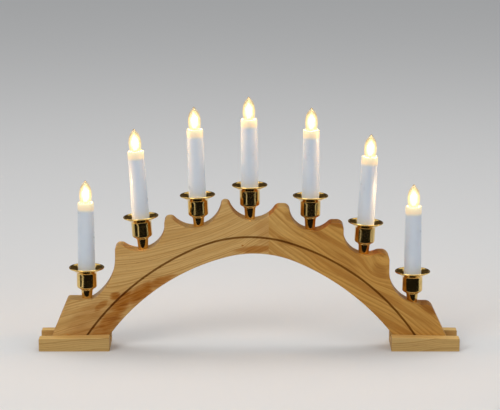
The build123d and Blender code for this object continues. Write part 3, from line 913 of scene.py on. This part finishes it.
contact_top = 88.0
stop_top = 82.0
stop_floor = stop_top - 0.8
stop_radius = 2.4
pin_radius = 1.4
contact_profile = np.vstack([
    [(0.0, stop_floor), (2.1, stop_floor), (stop_radius, stop_floor + 0.2), (stop_radius, stop_top - 0.1)],
    [(2.3, stop_top), (pin_radius, stop_top), (pin_radius, contact_top - 1.0), (2.45, contact_top - 1.0)],
    arc((2.3, contact_top - 0.5), 0.3, -60.0, 70.0, 6),
    [(1.6, contact_top - 0.03), (0.0, contact_top)],
])
contact_brass = metal("contact_brass", (0.80, 0.58, 0.26, 1), (0.45, 0.30, 0.12, 1), 0.20, 0.34)
turn_on_candles("contact_pin", "socket_contact", "contact_{}", contact_profile,
                contact_brass, 32)


# Bulb caps. Nickelled brass pressed into a cup with a rolled screw thread and a soldered button at
# its foot, cemented round the neck of each bulb.

button_floor = 88.1
cap_floor = 89.3
cap_radius = 4.8
cap_thread_depth = 0.35
glass_floor = 92.6
cap_web = glass_floor - 0.1

# From the button up the cone and the thread, over the edge and back to the axis inside
cap_profile = np.vstack([
    curve([(0.0, button_floor), (1.5, button_floor), (1.9, button_floor + 0.45)], 8),
    [(1.9, cap_floor - 0.1), (2.1, cap_floor), (2.9, cap_floor + 0.25), (4.3, cap_floor + 1.2)],
    line((cap_radius, cap_floor + 1.5), (cap_radius, shell_top - 0.6), 40),
    [(cap_radius, shell_top - 0.6), (4.78, shell_top - 0.15), (4.7, shell_top), (4.5, shell_top - 0.05)],
    [(4.45, shell_top - 0.2), (4.45, cap_web), (0.0, cap_web)],
])
cap_brass = metal("cap_brass", (0.86, 0.74, 0.50, 1), (0.55, 0.42, 0.22, 1), 0.16, 0.30)
cap_swell = threaded(cap_floor + 1.6, shell_top - 1.0, cap_thread_depth)
turn_on_candles("cap", "bulb_cap", "bulb_{}", cap_profile, cap_brass, 48, cap_swell)


# Bulb glasses. Clear glass blown thin in a fluted mould, in the shape of a flame, and drawn to a
# point. The flutes catch the filament's light.

def build_lit_glass():
    """Glow and roughness of glass round a lamp: a cosine brightens each flute, the whole fades below
    the shoulder and towards the tip, and fine seeds roughen the surface."""
    group, given = new_group("lit_glass", ("Turn", "Height", "Flutes", "Shoulder", "Tip"))
    turn, height, flutes, shoulder, tip = given
    wave = (turn * (2 * pi) * flutes).calc("COSINE")
    rise = (height - shoulder) / (tip - shoulder)
    belly = fade(rise, -0.25, 0.25) * fade(rise, 0.45, 1.0, 1.0, 0.12)
    glow = fade(wave, -0.2, 1.0, 0.35, 1.0) * belly
    seeds = noise(own_place(group), scale=700.0)
    return close_group(group, {"Glow": glow * 0.24, "Roughness": fade(seeds, 0.3, 0.8, 0.03, 0.10)})


lit_glass = build_lit_glass()


def clear_glass(name, flutes, shoulder, tip):
    """Clear glass that the filament's light warms."""
    material, tree = new_material(name)
    turn, height = turned_place(tree)
    sizes = dict(turn=turn, height=height, flutes=flutes, shoulder=shoulder, tip=tip)
    glow, roughness = use_group(tree, lit_glass, **sizes)
    surface(tree, {"Base Color": (1.0, 0.91, 0.72, 1), "Transmission Weight": 1.0, "IOR": 1.47,
                   "Roughness": roughness, "Emission Color": (1.0, 0.68, 0.25, 1), "Emission Strength": glow})
    return material


glass_flutes = 14
flute_depth = 0.16
glass_neck_radius = 4.25
glass_belly_radius = 6.45
glass_wall = 0.6
glass_belly = 111.3
glass_tip = 126.09
flute_start = shell_top + 3.0
flute_end = glass_tip - 1.5
flute_rise = 5.0
flute_fall = 6.0


def flame_half(wall, tip):
    """Profile of one skin of the glass, from its foot in the cap to the tip."""
    neck, belly = glass_neck_radius - wall, glass_belly_radius - wall
    swelling, taper = glass_belly - shell_top, tip - glass_belly
    lower = [(neck, shell_top), (belly, glass_belly - swelling * 0.45), (belly, glass_belly)]
    upper = [(belly, glass_belly), (belly, glass_belly + taper * 0.5),
             (belly * 0.46, glass_belly + taper * 0.82), (0.0, tip)]
    foot = line((neck, glass_floor), (neck, shell_top), 6)
    return np.vstack([foot, curve(lower, 26)[:-1], curve(upper, 34)])


def flute_swell(radius, height, turn):
    """Flutes on both skins: a cosine round the glass, deepest at the belly."""
    fading = ramp(height, flute_start, flute_rise) * ramp(height, flute_end, -flute_fall)
    return radius - flute_depth * fading * (0.5 + 0.5 * np.cos(glass_flutes * turn)), height


# Down the inside from the tip and up the outside to it
flame_profile = np.vstack([flame_half(glass_wall, glass_tip - 1.2)[::-1], flame_half(0.0, glass_tip)])
bulb_glass = clear_glass("bulb_glass", glass_flutes, shell_top, glass_tip)
for glass in turn_on_candles("glass", "bulb_glass", "bulb_{}", flame_profile, bulb_glass, 112,
                             flute_swell, sharp=60.0):
    glass.visible_shadow = False


# Filaments. In each bulb a glass stem is pressed round two lead wires, which carry a fine coil in a
# low arch. The coil is white hot, and its light fills the flame in soft nested layers.

def along_wire(points, radius, across, sides):
    """A round wire: a circle of points about each point of the path, in the plane of the path's
    side, which is its way crossed with a fixed direction, and of the way crossed with that side."""
    way = np.gradient(points, axis=0)
    way /= np.linalg.norm(way, axis=1)[:, None]
    side = np.cross(way, across)
    side /= np.linalg.norm(side, axis=1)[:, None]
    other = np.cross(way, side)
    angles = np.arange(sides) * 2 * pi / sides
    around = np.multiply.outer(np.cos(angles), side) + np.multiply.outer(np.sin(angles), other)
    rings = points[:, None] + radius * mm * around.transpose(1, 0, 2)
    steps = np.linalg.norm(np.diff(points, axis=0), axis=1) / mm
    lengths = np.concatenate([[0.0], np.cumsum(steps)])
    return skin(rings, lengths, points[[0, -1]], lengths[[0, -1]])


def build_flicker():
    """Strength of a glowing thing, a fifth more or less from place to place."""
    group, (turn, height, strength) = new_group("flicker", ("Turn", "Height", "Strength"))
    share = fade(noise_round(turn, 1.1, height, 0.5), 0.3, 0.7, 0.8, 1.2)
    return close_group(group, {"Strength": share * strength})


flicker = build_flicker()


def glowing(name, colour, strength, share=1.0):
    """A surface that gives light. With a share below one the rest of it is see-through."""
    material, tree = new_material(name)
    turn, height = turned_place(tree)
    power = use_group(tree, flicker, turn=turn, height=height, strength=strength)[0]
    light = output(tree, "Emission", 0, {"Color": colour, "Strength": power})
    if share < 1.0:
        clear = output(tree, "BsdfTransparent", 0)
        light = output(tree, "MixShader", 0, {0: share, 1: clear, 2: light})
    add(tree, "OutputMaterial", {"Surface": light})
    return material


mount_top = glass_floor + 13.0
mount_radius = 1.1
lead_height = mount_top + 9.0
lead_spread = 2.3
lead_radius = 0.25
coil_turns = 16
coil_radius = 0.32
coil_wire_radius = 0.13
coil_rise = 1.2
light_height = 113.3
light_power = 0.10
light_radius = 3.5

# The glass stem pressed round the leads, from its flared foot to its round top
mount_profile = np.vstack([
    [(0.0, glass_floor), (3.4, glass_floor), (3.55, glass_floor + 0.3), (3.5, glass_floor + 2.3)],
    curve([(3.4, glass_floor + 2.6), (2.4, glass_floor + 3.6), (1.3, glass_floor + 4.6),
           (mount_radius, glass_floor + 5.5)], 8),
    line((mount_radius, glass_floor + 5.8), (mount_radius, mount_top - 1.0), 4),
    arc((0.0, mount_top - mount_radius), mount_radius, 5.0, 80.0, 6),
    [(0.0, mount_top)],
])


def lead_wires(spot):
    """Two straight leads that spread from the stem's top to the ends of the coil."""
    heights = np.linspace(mount_top - 0.8, lead_height, 8)
    outward = np.linspace(0.6, lead_spread, 8)
    paths = [spot.place(side * outward, np.zeros(8), heights) for side in (-1, 1)]
    return [along_wire(path, lead_radius, spot.side, 8) for path in paths]


def coiled_filament(spot):
    """A helix round a low parabolic arch between the leads."""
    share = np.linspace(0, 1, coil_turns * 10 + 1)
    run = 2 * share - 1
    turn = share * coil_turns * 2 * pi
    height = lead_height + coil_rise * (1 - run ** 2) + coil_radius * np.cos(turn)
    return along_wire(spot.place(lead_spread * run, coil_radius * np.sin(turn), height),
                      coil_wire_radius, spot.across, 6)


def glow_profile(inset):
    """One layer of the body of light round the filament, set in from the glass."""
    low, high = shell_top + 4.0 + inset, glass_tip - 3.0 - 2.2 * inset
    wide, middle = 5.55 - inset, glass_belly - 1.0
    lower = curve([(0.0, low), (0.5 * wide, low), (0.95 * wide, low + 3.0), (wide, middle)], 16)
    upper = curve([(wide, middle), (1.02 * wide, glass_belly + 4.0), (0.42 * wide, high - 1.2),
                   (0.0, high)], 20)
    return np.vstack([lower[:-1], upper])


mount_glass = clear_glass("mount_glass", 3, glass_floor - 40.0, glass_tip)
lead_wire = metal("lead_wire", (0.60, 0.55, 0.48, 1), (0.35, 0.30, 0.25, 1), 0.25, 0.40)
filament_light = glowing("filament_light", (1.0, 0.86, 0.62, 1), 22.0)
glow_layers = (
    (0.1, glowing("glow_edge", (1.0, 0.78, 0.38, 1), 1.3, 0.26)),
    (0.8, glowing("glow_outer", (1.0, 0.88, 0.56, 1), 1.9, 0.34)),
    (1.5, glowing("glow_inner", (1.0, 0.93, 0.74, 1), 2.6, 0.45)),
    (2.3, glowing("glow_heart", (1.0, 0.96, 0.86, 1), 3.8, 0.60)),
)


def light_up(name, kind, place, power, colour):
    """A lamp of the scene at a place, and its light."""
    light = bpy.data.lights.new(name, kind)
    light.energy = power
    light.color = colour
    lamp = bpy.data.objects.new(name, light)
    lamp.location = place
    scene.collection.objects.link(lamp)
    return lamp, light


for number, spot in spots:
    shapes = [(turned(spot, mount_profile, 32), mount_glass)]
    shapes += [(lead, lead_wire) for lead in lead_wires(spot)]
    shapes.append((coiled_filament(spot), filament_light))
    shapes += [(turned(spot, glow_profile(inset), 36), light) for inset, light in glow_layers]
    filament = make_piece(f"filament_{number}", shapes, f"bulb_{number}", f"bulb_filament_{number}")
    filament.visible_shadow = False

    # The light that the bulb throws on its neighbours
    light_place = spot.place(0.0, 0.0, light_height)
    bulb_light = light_up(f"bulb_light_{number}", "POINT", light_place, light_power, (1.0, 0.60, 0.28))[1]
    bulb_light.shadow_soft_size = light_radius * mm


# Setting. A pale floor under the arch. Dark cards lie on it in front and a brown one stands behind.
# Only reflections show them, and they give the polished brass its dark middle and bright edges.

def flat_colour(name, colour, roughness):
    """Matt paint of the setting, with no shine."""
    material, tree = new_material(name)
    surface(tree, {"Base Color": colour, "Roughness": roughness, "Specular IOR Level": 0.0})
    return material


def stand_sheets(name, sheets):
    """Flat four-cornered sheets, each with its material, as one object of the setting."""
    corners = np.asarray([places for places, _ in sheets], float).reshape(-1, 3)
    mesh = bpy.data.meshes.new(name)
    mesh.from_pydata(corners.tolist(), [], np.arange(len(corners)).reshape(-1, 4).tolist())
    materials = list(dict.fromkeys(material for _, material in sheets))
    for material in materials:
        mesh.materials.append(material)
    mesh.polygons.foreach_set("material_index", [materials.index(material) for _, material in sheets])
    sheet = bpy.data.objects.new(name, mesh)
    scene.collection.objects.link(sheet)
    return sheet


pale = (0.80, 0.79, 0.775, 1)
floor_half = 12.0
floor_places = [(x * floor_half, y * floor_half, 0.0) for x, y in ((-1, -1), (1, -1), (1, 1), (-1, 1))]
stand_sheets("pale_floor", [(floor_places, flat_colour("pale_floor", pale, 0.75))])

card_height = 0.004
back_distance = 2.4
dark_card = flat_colour("dark_card", (0.012, 0.011, 0.010, 1), 1.0)
back_card = flat_colour("back_card", (0.12, 0.09, 0.055, 1), 1.0)
front_places = (
    ((-0.30, -0.045), (-0.62, -2.4), (1.9, -2.4), (0.42, -0.045)),
    ((-0.36, -0.045), (-0.80, -2.4), (-2.2, -1.9), (-1.7, -0.045)),
    ((0.50, -0.045), (2.2, -2.2), (3.4, -0.8), (1.9, -0.045)),
)
back_places = ((-4.5, 0.30), (4.5, 0.30), (4.5, 3.4), (-4.5, 3.4))
cards = [([(x, y, card_height) for x, y in places], dark_card) for places in front_places]
cards.append(([(x, back_distance, z) for x, z in back_places], back_card))
dark_cards = stand_sheets("dark_cards", cards)
dark_cards.visible_camera = False
dark_cards.visible_diffuse = False
dark_cards.visible_shadow = False
dark_cards.visible_transmission = False


# Light and camera. Even pale light from all round and three soft lamps, before a plain pale grey
# that the camera, glass and reflections see. The camera looks down at the photograph's angle.

# Name, place, aim height, width, depth, power and colour of each lamp
soft_lamps = (
    ("key", (-1.3, -1.5, 1.5), 0.12, 1.1, 1.1, 17.0, (1.0, 0.975, 0.94)),
    ("fill", (1.6, -1.2, 0.9), 0.12, 0.8, 1.2, 6.0, (0.95, 0.97, 1.0)),
    ("top", (0.1, 0.5, 1.9), 0.1, 1.5, 0.9, 11.0, (1.0, 1.0, 1.0)),
)
for name, place, aim_height, width, depth, power, colour in soft_lamps:
    lamp, light = light_up(name, "AREA", place, power, colour)
    light.shape = "RECTANGLE"
    light.size = width
    light.size_y = depth
    lamp.rotation_euler = (Vector((0, 0, aim_height)) - Vector(place)).to_track_quat("-Z", "Y").to_euler()

ambient_colour = (0.93, 0.96, 1.0, 1)
ambient_strength = 0.42
world = bpy.data.worlds.new("world")
scene.world = world
world.use_nodes = True
sky = world.node_tree
sky.nodes.clear()
ambient = output(sky, "Background", 0, {"Color": ambient_colour, "Strength": ambient_strength})
backdrop = output(sky, "Background", 0, {"Color": pale, "Strength": 1.0})
rays = add(sky, "LightPath", {}).outputs
camera_ray, through_glass, reflected = (Value(sky, rays[f"Is {kind} Ray"])
                                        for kind in ("Camera", "Transmission", "Glossy"))
shown = camera_ray.calc("MAXIMUM", through_glass).calc("MAXIMUM", reflected)
add(sky, "OutputWorld", {"Surface": output(sky, "MixShader", 0, {0: shown, 1: ambient, 2: backdrop})})

camera_place = (0.869, -2213.7, 626.9)
looking_down = 12.2
focal_length = 160.2
sensor_width = 36.0
lens = bpy.data.cameras.new("camera")
lens.sensor_fit = "HORIZONTAL"
lens.sensor_width = sensor_width
lens.lens = focal_length
camera = bpy.data.objects.new("camera", lens)
camera.location = [part * mm for part in camera_place]
camera.rotation_euler = (radians(90 - looking_down), 0, 0)
scene.collection.objects.link(camera)
scene.camera = camera
scene.view_settings.view_transform = "Standard"
